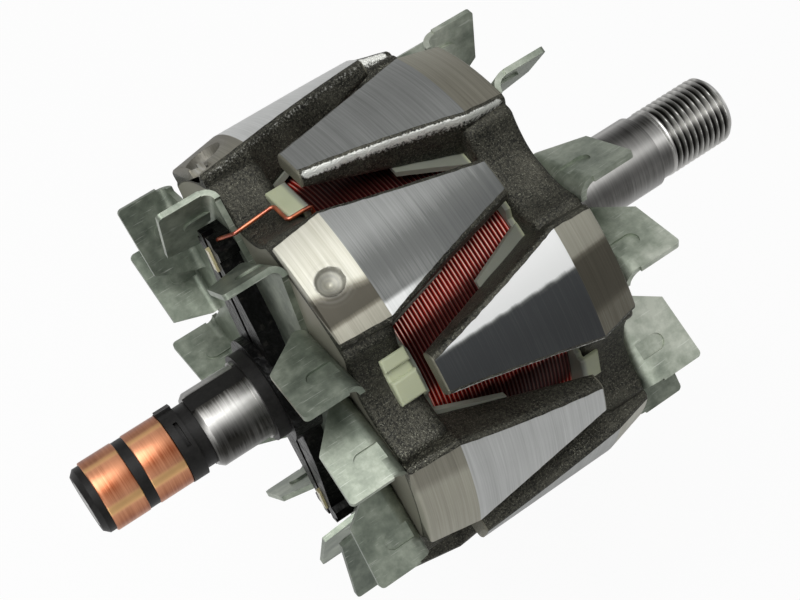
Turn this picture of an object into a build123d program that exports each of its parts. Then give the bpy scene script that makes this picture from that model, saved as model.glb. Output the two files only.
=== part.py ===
from build123d import *
import os
from math import cos, degrees, radians, sin

os.makedirs("parts", exist_ok=True)

# Frame: X runs along the shaft, slip rings at -X, pulley thread at +X, the middle of the overall
# length at the origin, Z up. Angles are measured round the shaft from +Z towards +Y.

# Shaft
nose_x = -80.4
core_r = 5.2
slip_seat_start = -54.3
slip_seat_end = -42.4
seat_r = 8.5
seat_lead_r = 7.7
shoulder_r = 8.9
shoulder_end = 24.8
pulley_seat_end = 60.1
neck_r = 7.8
thread_start = 63.6
thread_end = 79.45
thread_r = 8.0
shaft_end = 80.4
groove_angle = 22.5
groove_w = 4.4
seat_chamfer = 1.0

# Claw poles
pack_r = 49.35
slip_face = -31.3
slip_taper_end = -20.8
slip_rim_drop = 1.75
slip_web = -20.3
slip_claw_tip = 10.4
pulley_face = 22.9
pulley_taper_end = 13.75
pulley_rim_drop = 2.15
pulley_web = 12.3
pulley_claw_tip = -18.6
claws = 6
pitch = 360 / claws
slip_claw_angle = -10.3
pulley_claw_angle = -40.3
rim_half = 12.9
shoulder_half = 13.6
tip_half = 3.7
margin_w = 1.0
margin_drop = 0.45
flank_out = 0.8
claw_root_t = 10.55
claw_tip_t = 3.15
claw_root_r = pack_r - claw_root_t
claw_tip_r = pack_r - claw_tip_t
tip_undercut = 0.5
valley_r = pack_r - 9.15
valley_edge_r = pack_r - 3.55
valley_half = 13.4
core_out_r = 25.5

# Winding and its former; a block is given by its middle and half angle, its reach out of the hollow from
# the web and inward over the winding, and its height over the bottom of the hollow
tube_in_r = 25.8
tube_out_r = 27.2
flange_t = 1.2
flange_r = claw_root_r - 0.4
winding_r = flange_r - 1.1
lobe_r = valley_r
lobe_half = 6.5
lobe_foot_half = 10.0
petal_t = 1.1
pulley_petal = (1.6, 1.2)
slip_petal = (-0.3, 0.2)
petal_reach = 14.1
block_round = 0.7
block_sink = 0.3
slip_blocks = [
    (18.8, 6.2, 3.1, 1.5, 2.1), (-33.7, 1.9, 5.2, 0.4, 2.2), (-37.0, 3.0, 5.2, 0.4, 1.2),
    (-41.8, 3.4, 5.2, 0.4, 2.2),
]
pulley_block = (-69.9, 4.4, 3.1, 1.4)
wire_d = 0.85
lead_inset = 7.4

# Fans
sheet = 1.2
fan_hole_r = shoulder_r + 0.1
blade_root = 20.0
slip_fan_r = 48.3
slip_fan_lean = 35.5
slip_fan_bend = 3.0
slip_fan_tip = -43.6
slip_blades = [
    (-1.0, 14.2), (29.0, 18.0), (75.4, 16.5), (100.1, 17.4), (132.8, 15.0), (157.0, 15.0),
    (182.5, 13.0), (211.3, 17.4), (234.1, 18.5), (271.6, 13.3), (305.1, 11.3), (327.8, 13.7),
]
pulley_fan_r = 47.5
pulley_fan_lean = 31.0
pulley_fan_bend = 3.7
pulley_fan_tip = 36.3
pulley_blades = [
    (12.3, 11.0), (44.3, 12.6), (79.0, 13.5), (108.0, 13.0), (136.0, 15.0), (164.0, 12.5),
    (198.0, 14.0), (223.0, 13.0), (253.6, 14.0), (277.2, 14.2), (314.3, 12.4), (338.2, 14.9),
]
dart_w = 3.6
dart_depth = 0.5
dart_reach = 4.2
tip_slant = 0.7

# Slip rings and their moulding
ring_r = 7.77
ring_in_r = 6.9
outer_ring = (-77.9, -70.36)
inner_ring = (-68.11, -60.32)
nose_r = 7.3
nose_small_r = 6.2
spacer_r = 7.6
stop_r = 7.9
stop_end = -56.9
neck_mould_r = 7.0
conduit_r = 8.35
hub_collar_r = 10.0
hub_collar = (-41.6, -38.9)
bar_w = 1.6
bar_in_r = 5.7
bar_out_r = 6.4
bar_top_r = 14.0

# Wire guide
guide_hub_r = 12.0
guide_arm_start = -36.9
arm_angle = 29.0
channel_w = 1.7
channel_from = 11.5
channel_to = 39.5
channel_floor = -34.5
guide_bore = shoulder_r + 0.1


def ring_point(r, angle):
    """Point (y, z) at radius r and this angle from +Z towards +Y."""
    return (r * sin(radians(angle)), r * cos(radians(angle)))


def space_point(x, r, angle):
    """Point in space at x along the shaft, radius r and this angle."""
    return (x, r * sin(radians(angle)), r * cos(radians(angle)))


def outward_plane(angle, r=0):
    """Plane facing out at this angle: local x along the shaft, local y towards greater angles."""
    out = (0, sin(radians(angle)), cos(radians(angle)))
    return Plane(origin=(0, out[1] * r, out[2] * r), x_dir=(1, 0, 0), z_dir=out)


def turned(points):
    """Solid of revolution round the shaft axis from (x, radius) points."""
    outline = Plane.XZ * make_face(Polyline(*points, close=True))
    return revolve(outline, axis=Axis.X)


def slab(points, x_from, x_to):
    """Plate across the shaft with an outline of (y, z) points."""
    outline = Plane.YZ.offset(x_from) * make_face(Polyline(*points, close=True))
    return extrude(outline, amount=x_to - x_from)


def claw_window(angle, points, r_from, r_to):
    """Straight block through the rim with a symmetric outline of (x, half width) points."""
    mirrored = [(x, -half) for x, half in reversed(points)]
    outline = outward_plane(angle, r_from) * make_face(Polyline(*points, *mirrored, close=True))
    return extrude(outline, amount=r_to - r_from)


def star_web(first_angle, x_from, x_to):
    """Web of a pole: straight under each claw, a hollow arc between two claws."""
    edges = []
    for k in range(claws):
        mid = first_angle + (k + 0.5) * pitch
        before = ring_point(valley_edge_r, mid - valley_half)
        after = ring_point(valley_edge_r, mid + valley_half)
        edges.append(ThreePointArc(before, ring_point(valley_r, mid), after))
        edges.append(Line(after, ring_point(valley_edge_r, mid + pitch - valley_half)))
    outline = Plane.YZ.offset(x_from) * make_face(edges)
    return extrude(outline, amount=x_to - x_from)


def half_at(half_angle, r):
    """Half width of a claw whose half angle is given at radius r."""
    return r * sin(radians(half_angle))


def claw_section(x, angle, r, half_angle, r_under):
    """Claw section: turned top edge, rounded forged margin, drafted flank that widens to the underside."""
    margin = degrees(margin_w / r)
    under = half_angle + margin + degrees(flank_out / r_under)
    half = [
        (r_under, under), (r - margin_drop, half_angle + margin), (r, half_angle), (pack_r + 3, half_angle),
    ]
    points = [ring_point(q, angle + t) for q, t in half]
    points += [ring_point(q, angle - t) for q, t in reversed(half)]
    return Plane.YZ.offset(x) * make_face(Polyline(*points, close=True))


def claw_pole(side, first_angle, face, taper_end, rim_r, web, tip):
    """Claw pole: web with hollow arcs, six tapering claws with forged flanks, shallow turned shoulder."""
    hull = turned([
        (face, shoulder_r), (face, rim_r), (taper_end, pack_r), (tip, pack_r),
        (tip + side * tip_undercut, claw_tip_r), (web, claw_root_r), (web, shoulder_r),
    ])
    kept = star_web(first_angle, min(face, web), max(face, web))
    for k in range(claws):
        angle = first_angle + k * pitch
        kept += loft([
            claw_section(face, angle, rim_r, rim_half, claw_root_r - 3),
            claw_section(taper_end, angle, pack_r, shoulder_half, claw_root_r - 0.6),
            claw_section(tip, angle, pack_r, tip_half, claw_tip_r - 0.2),
        ], ruled=True)
    return hull & kept


def claw_drilling(x, angle, r, bottom):
    """Balance drilling of radius r with a conical bottom that starts at this distance from the axis."""
    axis = outward_plane(angle, bottom) * Pos(x, 0)
    point = 0.6 * r
    return axis * Pos(0, 0, 3) * Cylinder(r, 6) + axis * Pos(0, 0, -point / 2) * Cone(0.1, r, point)


def petals(side, first_angle, web, taper_end, tip, proud):
    """Six flaps of the former under the claws of one pole, standing proud of them by these two widths."""
    slope = (claw_tip_r - claw_root_r) / abs(tip - web)
    end = web - side * petal_reach
    rise = slope * petal_reach
    shell = turned([
        (web, claw_root_r - 0.1), (end, claw_root_r - 0.1 + rise),
        (end, claw_root_r - 0.1 - petal_t + rise), (web, claw_root_r - 0.1 - petal_t),
    ])
    wide = half_at(shoulder_half, pack_r)
    fall = (wide - half_at(tip_half, pack_r)) / abs(tip - taper_end)
    outline = [
        (web, wide - fall * abs(web - taper_end) + proud[0]),
        (end, wide - fall * abs(end - taper_end) + proud[1]),
    ]
    kept = claw_window(first_angle, outline, 30, pack_r)
    for k in range(1, claws):
        kept += claw_window(first_angle + k * pitch, outline, 30, pack_r)
    return shell & kept


def former_flange(first_angle, x_from):
    """End flange of the former with a lobe in each gap between the claws of its own pole."""
    disc = turned([
        (x_from, tube_in_r), (x_from, flange_r),
        (x_from + flange_t, flange_r), (x_from + flange_t, tube_in_r),
    ])
    for k in range(claws):
        mid = first_angle + (k + 0.5) * pitch
        lobe = [ring_point(flange_r - 1, mid - lobe_foot_half), ring_point(lobe_r, mid - lobe_half)]
        lobe += [ring_point(lobe_r + 0.25, mid), ring_point(lobe_r, mid + lobe_half)]
        lobe += [ring_point(flange_r - 1, mid + lobe_foot_half)]
        disc += slab(lobe, x_from, x_from + flange_t)
    return disc


def tab_block(angle, half_angle, x_from, x_to, r_bottom, r_top):
    """Block of the former that sits in the hollow of a web, its top edges rounded."""
    half = half_at(half_angle, r_top)
    seat = outward_plane(angle, r_bottom) * Pos((x_from + x_to) / 2, 0)
    block = extrude(seat * Rectangle(x_to - x_from, 2 * half), amount=r_top - r_bottom)
    top = block.faces().sort_by_distance((seat.position.X, 0, 0))[-1]
    return fillet(top.edges(), min(block_round, 0.9 * half))


def fan(side, radius, lean, bend, blades, x_plate, x_tip):
    """Sheet fan: saw-tooth plate on a pole face, each tooth carrying a blade bent out along the shaft."""
    outer_face = x_plate + side * sheet
    corners = []
    body = None
    cuts = None
    for angle, tip_w in blades:
        out = (sin(radians(angle)), cos(radians(angle)))
        around = (cos(radians(angle)), -sin(radians(angle)))
        run = [-cos(radians(lean)) * out[i] + sin(radians(lean)) * around[i] for i in range(2)]
        face = [sin(radians(lean)) * out[i] + cos(radians(lean)) * around[i] for i in range(2)]
        start = [radius * out[i] for i in range(2)]

        def at(along, off):
            """Plan point at a distance along the bend line and off the convex face of this blade."""
            return tuple(start[i] + along * run[i] + off * face[i] for i in range(2))

        corners.append((angle, at(0.5 * bend, -bend), at(blade_root, -bend), at(blade_root, 0)))
        blade_frame = Plane(
            origin=(x_plate, *start), x_dir=(0, *run), z_dir=(0, -face[0], -face[1])
        )
        up = 1 if blade_frame.y_dir.X * side > 0 else -1
        height = abs(x_tip - x_plate)
        outline = [
            (0, up * (bend - 0.01)), (blade_root, up * (bend - 0.01)), (tip_w, up * (height - tip_slant)),
            (0, up * height),
        ]
        blank = make_face(Polyline(*outline, close=True))
        blank = fillet(blank.vertices().sort_by_distance((0, up * height, 0))[0], 1.0)
        wall = extrude(blade_frame * blank, amount=sheet)
        middle = 0.52 * tip_w
        dart = Rectangle(dart_w, dart_reach)
        dart = Pos(middle, up * (bend + dart_reach / 2 - 1.5)) * dart
        dart += Pos(middle, up * (bend + dart_reach - 1.5)) * Circle(dart_w / 2)
        pocket = extrude(blade_frame * dart, amount=dart_depth)
        bulge = extrude(blade_frame * Pos(0, 0, sheet) * dart, amount=dart_depth)
        section = [
            Line((-bend, 0), (-bend, up * sheet)),
            ThreePointArc(
                (-bend, up * sheet),
                (-bend + (bend - sheet) * sin(radians(45)), up * (bend - (bend - sheet) * cos(radians(45)))),
                (-sheet, up * bend),
            ),
            Line((-sheet, up * bend), (0, up * bend)),
            ThreePointArc(
                (0, up * bend),
                (-bend + bend * sin(radians(45)), up * (bend - bend * cos(radians(45)))),
                (-bend, 0),
            ),
        ]
        bend_frame = Plane(origin=(x_plate, *at(0.4, 0)), x_dir=(0, *face), z_dir=(0, *run))
        flip = 1 if bend_frame.y_dir.X * side * up > 0 else -1
        quarter = make_face(section)
        if flip < 0:
            quarter = mirror(quarter, about=Plane.XZ)
        corner = extrude(bend_frame * quarter, amount=blade_root - 0.4)
        piece = wall + corner + bulge
        body = piece if body is None else body + piece
        cuts = pocket if cuts is None else cuts + pocket
    corners.sort()
    plan = []
    for k, (angle, tooth, inner, notch) in enumerate(corners):
        plan += [tooth, inner, notch]
    plate = slab(plan, min(x_plate, outer_face), max(x_plate, outer_face))
    bore = Plane.YZ.offset(-60) * Circle(fan_hole_r)
    return plate + body - cuts - extrude(bore, amount=120)


def lead_path(turn):
    """Route of a coil end: off the winding, round its block, straight to the arm tip, down the arm."""
    a = turn
    return [
        space_point(slip_web + 4.6, winding_r + 0.45, 11.4 + a),
        space_point(slip_web + 1.7, winding_r + 1.6, 11.4 + a),
        space_point(slip_web + 1.6, valley_r + 2.2, 12.0 + a),
        space_point(slip_web - 0.2, valley_r + 2.5, 11.8 + a),
        space_point(slip_web - 3.65, valley_r + 2.4, 11.9 + a),
        space_point(slip_web - 3.65, valley_r + 1.9, 19.2 + a),
        space_point(slip_face - 1.5, slip_fan_r - lead_inset, 19.6 + a),
        space_point(channel_floor - 0.9, 38.6, 25.4 + a),
        space_point(channel_floor - 0.9, 36.3, arm_angle + a),
        space_point(channel_floor - 0.9, 12.6, arm_angle + 1.5 + a),
    ]


# Shaft: turned and ground, with two lead grooves under the slip-side bearing seat
with BuildPart() as shaft:
    with BuildSketch(Plane.XZ):
        with BuildLine():
            Polyline(
                (nose_x, 0), (nose_x, core_r), (slip_seat_start, core_r), (slip_seat_start, seat_lead_r),
                (slip_seat_start + seat_chamfer, seat_r), (slip_seat_end, seat_r),
                (slip_seat_end, shoulder_r), (shoulder_end, shoulder_r), (shoulder_end, seat_r),
                (pulley_seat_end - 0.6, seat_r),
                (pulley_seat_end, neck_r), (thread_start, neck_r), (thread_start + 0.4, thread_r),
                (thread_end, thread_r), (shaft_end, thread_r - 1.0), (shaft_end, 0), close=True,
            )
        make_face()
    revolve(axis=Axis.X)
    for turn in (0, 180):
        with BuildSketch(outward_plane(groove_angle + turn, core_r)):
            with Locations(((slip_seat_start + channel_floor) / 2, 0)):
                Rectangle(channel_floor - slip_seat_start, groove_w)
        extrude(amount=10, mode=Mode.SUBTRACT)
shaft.part.label = "shaft"

# Pole core: plain steel tube that carries the flux inside the winding
with BuildPart() as pole_core:
    with BuildSketch(Plane.YZ.offset(slip_web)):
        Circle(core_out_r)
        Circle(shoulder_r, mode=Mode.SUBTRACT)
    extrude(amount=pulley_web - slip_web)
pole_core.part.label = "pole_core"

# Slip-side claw pole, with two balance drillings in the shoulders of its claws
slip_forging = claw_pole(
    -1, slip_claw_angle, slip_face, slip_taper_end, pack_r - slip_rim_drop, slip_web, slip_claw_tip
)
slip_drillings = claw_drilling(slip_face + 4.8, -10.9, 2.6, pack_r - 1.95)
slip_drillings += claw_drilling(slip_face + 4.2, 46.0, 3.8, pack_r - 2.75)
slip_drillings += Plane.YZ.offset(slip_face) * Pos(*ring_point(pack_r - 1.15, 41.0)) * Cylinder(3.0, 7)
with BuildPart() as slip_side_pole:
    add(slip_forging)
    add(slip_drillings, mode=Mode.SUBTRACT)
slip_side_pole.part.label = "slip_side_pole"

# Pulley-side claw pole
pulley_forging = claw_pole(
    1, pulley_claw_angle, pulley_face, pulley_taper_end, pack_r - pulley_rim_drop, pulley_web, pulley_claw_tip
)
with BuildPart() as pulley_side_pole:
    add(pulley_forging)
pulley_side_pole.part.label = "pulley_side_pole"

# Coil leads: enamelled wire from the winding round its block and along an arm of the guide
for turn, name in ((0, "coil_lead_start"), (180, "coil_lead_finish")):
    with BuildPart() as lead:
        points = lead_path(turn)
        with BuildLine() as route:
            FilletPolyline(*points, radius=0.8)
        with BuildSketch(Plane(origin=points[0], z_dir=Vector(*points[1]) - Vector(*points[0]))):
            Circle(wire_d / 2)
        sweep(transition=Transition.ROUND)
    lead.part.label = name
    export_step(lead.part, f"parts/{name}.step")
    if turn == 0:
        coil_lead_start = lead.part
    else:
        coil_lead_finish = lead.part

# Winding former: tube, two lobed flanges, petals under the claws and blocks in the hollows of the webs
former_pieces = [
    former_flange(slip_claw_angle, slip_web), former_flange(pulley_claw_angle, pulley_web - flange_t),
    petals(-1, slip_claw_angle, slip_web, slip_taper_end, slip_claw_tip, slip_petal),
    petals(1, pulley_claw_angle, pulley_web, pulley_taper_end, pulley_claw_tip, pulley_petal),
]
for turn in (0, 180):
    for angle, half_angle, out, inward, height in slip_blocks:
        former_pieces.append(tab_block(
            angle + turn, half_angle, slip_web - out, slip_web + inward,
            valley_r - block_sink, valley_r + height,
        ))
    angle, half_angle, out, height = pulley_block
    former_pieces.append(tab_block(
        angle + turn, half_angle, pulley_web - flange_t, pulley_web + out,
        valley_r - 2 * block_sink, valley_r + height,
    ))
with BuildPart() as bobbin:
    with BuildSketch(Plane.YZ.offset(slip_web)):
        Circle(tube_out_r)
        Circle(tube_in_r, mode=Mode.SUBTRACT)
    extrude(amount=pulley_web - slip_web)
    for piece in former_pieces:
        add(piece)
    add(slip_side_pole.part, mode=Mode.SUBTRACT)
    add(pulley_side_pole.part, mode=Mode.SUBTRACT)
    add(coil_lead_start, mode=Mode.SUBTRACT)
    add(coil_lead_finish, mode=Mode.SUBTRACT)
bobbin.part.label = "bobbin"

# Field winding
with BuildPart() as field_winding:
    with BuildSketch(Plane.YZ.offset(slip_web + flange_t)):
        Circle(winding_r)
        Circle(tube_out_r, mode=Mode.SUBTRACT)
    extrude(amount=pulley_web - slip_web - 2 * flange_t)
field_winding.part.label = "field_winding"

# Fans: zinc-plated sheet, blades of unequal width and spacing
slip_pressing = fan(-1, slip_fan_r, slip_fan_lean, slip_fan_bend, slip_blades, slip_face, slip_fan_tip)
with BuildPart() as slip_side_fan:
    add(slip_pressing)
slip_side_fan.part.label = "slip_side_fan"

pulley_pressing = fan(
    1, pulley_fan_r, pulley_fan_lean, pulley_fan_bend, pulley_blades, pulley_face, pulley_fan_tip
)
with BuildPart() as pulley_side_fan:
    add(pulley_pressing)
pulley_side_fan.part.label = "pulley_side_fan"

# Slip rings
with BuildPart() as outer_slip_ring:
    with BuildSketch(Plane.YZ.offset(outer_ring[0])):
        Circle(ring_r)
        Circle(ring_in_r, mode=Mode.SUBTRACT)
    extrude(amount=outer_ring[1] - outer_ring[0])
outer_slip_ring.part.label = "outer_slip_ring"

with BuildPart() as inner_slip_ring:
    with BuildSketch(Plane.YZ.offset(inner_ring[0])):
        Circle(ring_r)
        Circle(ring_in_r, mode=Mode.SUBTRACT)
    extrude(amount=inner_ring[1] - inner_ring[0])
inner_slip_ring.part.label = "inner_slip_ring"


def conductor(angle, ring_x):
    """Flat bar from a slip ring under the bearing seat to the arm root, with a foot up to the ring."""
    frame = outward_plane(angle)
    bar_end = channel_floor - 0.2
    bar = frame * Pos((ring_x + bar_end) / 2, 0, (bar_in_r + bar_out_r) / 2)
    bar = bar * Box(bar_end - ring_x, bar_w, bar_out_r - bar_in_r)
    foot = frame * Pos(ring_x + 0.6, 0, (bar_in_r + ring_in_r) / 2) * Box(1.2, bar_w, ring_in_r - bar_in_r)
    stand = frame * Pos(bar_end - 0.4, 0, (bar_in_r + bar_top_r) / 2) * Box(0.8, bar_w, bar_top_r - bar_in_r)
    foot &= Plane.YZ.offset(ring_x) * Pos(0, 0, 0.6) * Cylinder(ring_in_r, 1.2)
    return bar + foot + stand


outer_bar = conductor(groove_angle, outer_ring[0] + 3)
inner_bar = conductor(groove_angle + 180, inner_ring[0] + 3)

with BuildPart() as ring_conductor_outer:
    add(outer_bar)
ring_conductor_outer.part.label = "ring_conductor_outer"

with BuildPart() as ring_conductor_inner:
    add(inner_bar)
ring_conductor_inner.part.label = "ring_conductor_inner"

stop_slot = turned([
    (stop_end - 1.8, neck_mould_r), (stop_end - 1.8, stop_r + 1), (stop_end - 0.9, stop_r + 1),
    (stop_end - 0.9, neck_mould_r),
])
stop_slot &= claw_window(-11.5, [(slip_seat_start - 10, 2.8), (slip_seat_start, 2.8)], 1, stop_r + 1)

# Slip ring moulding: nose, spacer and stop round the rings, two conduits under the seat, hub collar
with BuildPart() as slip_ring_carrier:
    with BuildSketch(Plane.XZ):
        with BuildLine():
            Polyline(
                (nose_x, core_r), (nose_x, nose_small_r), (nose_x + 1.1, nose_r), (outer_ring[0], nose_r),
                (outer_ring[0], ring_in_r), (outer_ring[1], ring_in_r), (outer_ring[1], spacer_r),
                (inner_ring[0], spacer_r), (inner_ring[0], ring_in_r), (inner_ring[1], ring_in_r),
                (inner_ring[1], stop_r), (stop_end, stop_r), (stop_end, neck_mould_r),
                (slip_seat_start, neck_mould_r), (slip_seat_start, core_r), close=True,
            )
        make_face()
        with BuildLine():
            Polyline(
                (hub_collar[0], shoulder_r), (hub_collar[0], hub_collar_r), (hub_collar[1], hub_collar_r),
                (hub_collar[1], shoulder_r), close=True,
            )
        make_face()
    revolve(axis=Axis.X)
    for turn in (0, 180):
        with BuildSketch(outward_plane(groove_angle + turn, core_r)):
            with Locations(((slip_seat_start + hub_collar[1]) / 2, 0)):
                Rectangle(hub_collar[1] - slip_seat_start, groove_w)
        extrude(amount=conduit_r - 0.25 - core_r)
        with BuildSketch(outward_plane(groove_angle + turn, conduit_r - 0.5)):
            with Locations((sum(hub_collar) / 2, 0)):
                Rectangle(hub_collar[1] - hub_collar[0], groove_w)
        extrude(amount=1.5)
    with BuildSketch(outward_plane(48.5, stop_r - 0.3)):
        with Locations(((inner_ring[1] + stop_end) / 2, 0)):
            Rectangle(stop_end - inner_ring[1], 2.2)
    extrude(amount=0.7)
    add(stop_slot, mode=Mode.SUBTRACT)
    add(outer_bar, mode=Mode.SUBTRACT)
    add(inner_bar, mode=Mode.SUBTRACT)
slip_ring_carrier.part.label = "slip_ring_carrier"

# Wire guide: hub and two tapering arms with a channel and cross hooks, against the slip-side fan
with BuildPart() as wire_guide:
    fan_face = slip_face - sheet
    with BuildSketch(Plane.YZ.offset(hub_collar[1])):
        Circle(guide_hub_r)
        Circle(guide_bore, mode=Mode.SUBTRACT)
    extrude(amount=fan_face - hub_collar[1])
    for turn in (0, 180):
        half_outline = [
            (9.5, 7), (18, 7), (34.2, 3.3), (35.1, 4.6), (36.9, 4.6), (37.3, 3.1), (39.2, 2.8),
        ]
        outline = half_outline + [(u, -w) for u, w in reversed(half_outline)]
        arm_plane = Plane(
            origin=(guide_arm_start, 0, 0), z_dir=(1, 0, 0), x_dir=space_point(0, 1, arm_angle + turn)
        )
        with BuildSketch(arm_plane):
            with BuildLine():
                Polyline(*outline, close=True)
            make_face()
            Circle(guide_bore, mode=Mode.SUBTRACT)
        extrude(amount=fan_face - guide_arm_start)
        with BuildSketch(arm_plane):
            with Locations(((channel_from + channel_to) / 2, 0)):
                Rectangle(channel_to - channel_from, channel_w)
        extrude(amount=channel_floor - guide_arm_start, mode=Mode.SUBTRACT)
    add(outer_bar, mode=Mode.SUBTRACT)
    add(inner_bar, mode=Mode.SUBTRACT)
    add(coil_lead_start, mode=Mode.SUBTRACT)
    add(coil_lead_finish, mode=Mode.SUBTRACT)
wire_guide.part.label = "wire_guide"

# Resin that sets each coil lead in the outer end of its channel
resin_drops = ((0, "lead_resin_upper", coil_lead_start), (180, "lead_resin_lower", coil_lead_finish))
for turn, name, held in resin_drops:
    with BuildPart() as resin:
        arm_plane = Plane(
            origin=(guide_arm_start - 0.5, 0, 0), z_dir=(1, 0, 0), x_dir=space_point(0, 1, arm_angle + turn)
        )
        with BuildSketch(arm_plane):
            with Locations((33.5, 0)):
                Rectangle(5, channel_w)
        extrude(amount=channel_floor - guide_arm_start + 0.5)
        add(held, mode=Mode.SUBTRACT)
    resin.part.label = name
    export_step(resin.part, f"parts/{name}.step")

for made in (
    shaft, pole_core, slip_side_pole, pulley_side_pole, bobbin, field_winding, slip_side_fan,
    pulley_side_fan, outer_slip_ring, inner_slip_ring, ring_conductor_outer, ring_conductor_inner,
    slip_ring_carrier, wire_guide,
):
    export_step(made.part, f"parts/{made.part.label}.step")
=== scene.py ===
import math

import bmesh
import bpy
import numpy as np
from mathutils import Matrix, Vector


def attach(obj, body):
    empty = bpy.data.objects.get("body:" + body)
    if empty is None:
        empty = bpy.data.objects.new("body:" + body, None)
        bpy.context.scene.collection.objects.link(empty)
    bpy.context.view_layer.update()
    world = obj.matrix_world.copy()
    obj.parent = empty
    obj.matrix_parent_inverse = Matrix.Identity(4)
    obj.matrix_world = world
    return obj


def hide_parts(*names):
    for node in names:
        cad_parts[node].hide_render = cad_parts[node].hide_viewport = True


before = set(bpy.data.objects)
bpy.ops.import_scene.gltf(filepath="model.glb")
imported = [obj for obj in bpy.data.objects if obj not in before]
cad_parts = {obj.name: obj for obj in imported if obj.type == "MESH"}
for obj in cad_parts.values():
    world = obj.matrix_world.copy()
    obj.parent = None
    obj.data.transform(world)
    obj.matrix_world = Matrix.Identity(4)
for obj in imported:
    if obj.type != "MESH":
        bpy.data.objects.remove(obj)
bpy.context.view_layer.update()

# Camera, lamps and backdrop: the rotor is seen from above its slip rings, against plain white.
# Two large soft lamps light it, and bare metal mirrors white surroundings that dim towards the horizon.
# The floor is well below, because the rotor is held by its shaft.
camera = bpy.data.objects.new("camera", bpy.data.cameras.new("camera"))
bpy.context.scene.collection.objects.link(camera)
camera.data.lens = 71.04
camera.data.sensor_width = 36
right, up, ahead = (0.81297, -0.58230, 0.0), (0.51613, 0.72059, 0.46299), (0.26959, 0.37640, -0.88637)
place = (-0.09319, -0.12341, 0.29270)
camera.matrix_world = Matrix([[right[i], up[i], -ahead[i], place[i]] for i in range(3)] + [[0, 0, 0, 1]])
bpy.context.scene.camera = camera


class Field:
    """A number that changes over a surface; Python arithmetic on it adds Math nodes."""

    def __init__(self, finish, socket):
        self.finish, self.socket = finish, socket

    def math(self, operation, *others):
        inputs = dict(enumerate((self, *others)))
        return self.finish.node("ShaderNodeMath", {"operation": operation}, inputs)

    def __add__(self, other):
        return self.math("ADD", other)

    def __sub__(self, other):
        return self.math("SUBTRACT", other)

    def __rsub__(self, other):
        return self.finish.node("ShaderNodeMath", {"operation": "SUBTRACT"}, {0: other, 1: self})

    def __mul__(self, other):
        return self.math("MULTIPLY", other)

    __radd__, __rmul__ = __add__, __mul__

    def rise(self, low, high):
        """0 below low, 1 above high, with a smooth step between them."""
        inputs = {0: self, 1: low, 2: high, 3: 0.0, 4: 1.0}
        return self.finish.node("ShaderNodeMapRange", {"interpolation_type": "SMOOTHSTEP"}, inputs)


class Finish:
    """A procedural material; values that stay the same sit on the shader, the rest comes through node()."""

    def __init__(self, name, **constants):
        self.material = bpy.data.materials.new(name)
        self.material.use_nodes = True
        self.tree = self.material.node_tree
        self.shader = self.tree.nodes["Principled BSDF"]
        for socket, value in constants.items():
            self.shader.inputs[socket.replace("_", " ")].default_value = value
        self.place = self.node("ShaderNodeTexCoord", {}, {}, "Object")

    def node(self, kind, settings, inputs, output=0):
        """Adds one node: settings first, then a value or a link for each socket."""
        made = self.tree.nodes.new(kind)
        for key, value in settings.items():
            if key == "stops":
                made.color_ramp.elements[0].position, made.color_ramp.elements[0].color = value[0]
                made.color_ramp.elements[1].position, made.color_ramp.elements[1].color = value[-1]
                for position, color in value[1:-1]:
                    made.color_ramp.elements.new(position).color = color
            else:
                setattr(made, key, value)
        for key, value in inputs.items():
            if isinstance(value, Field):
                self.tree.links.new(value.socket, made.inputs[key])
            else:
                made.inputs[key].default_value = value
        return Field(self, made.outputs[output])

    def kept(self, name):
        """A value stored on the mesh."""
        return self.node("ShaderNodeAttribute", {"attribute_name": name}, {}, "Fac")

    def axis(self, name):
        """One coordinate of the surface, in millimetres."""
        return self.node("ShaderNodeSeparateXYZ", {}, {0: self.place}, name) * 1000.0

    def stretched(self, x, y, z):
        """The place with each axis scaled, for grain that runs one way."""
        return self.node("ShaderNodeVectorMath", {"operation": "MULTIPLY"}, {0: self.place, 1: (x, y, z)})

    def noise(self, scale, detail=3.0, rough=0.55, where=None):
        inputs = {"Vector": where or self.place, "Scale": scale, "Detail": detail, "Roughness": rough}
        return self.node("ShaderNodeTexNoise", {}, inputs, "Fac")

    def blend(self, factor, low, high):
        """Colour between low and high."""
        settings = {"data_type": "RGBA", "clamp_factor": True}
        return self.node("ShaderNodeMix", settings, {0: factor, 6: low, 7: high}, 2)

    def set(self, **links):
        """Links values that change over the surface to the shader."""
        for socket, value in links.items():
            self.tree.links.new(value.socket, self.shader.inputs[socket.replace("_", " ")])

    def bump(self, height, distance, strength=1.0):
        inputs = {"Height": height, "Distance": distance, "Strength": strength}
        self.set(Normal=self.node("ShaderNodeBump", {}, inputs, "Normal"))


def grey(level):
    """Plain linear grey."""
    return (level, level, level, 1.0)


class Sky(Finish):
    """The world, made of the same nodes as a material."""

    def __init__(self, name):
        world = bpy.data.worlds.new(name)
        bpy.context.scene.world = world
        world.use_nodes = True
        self.tree = world.node_tree
        self.shader = self.tree.nodes["Background"]


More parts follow.
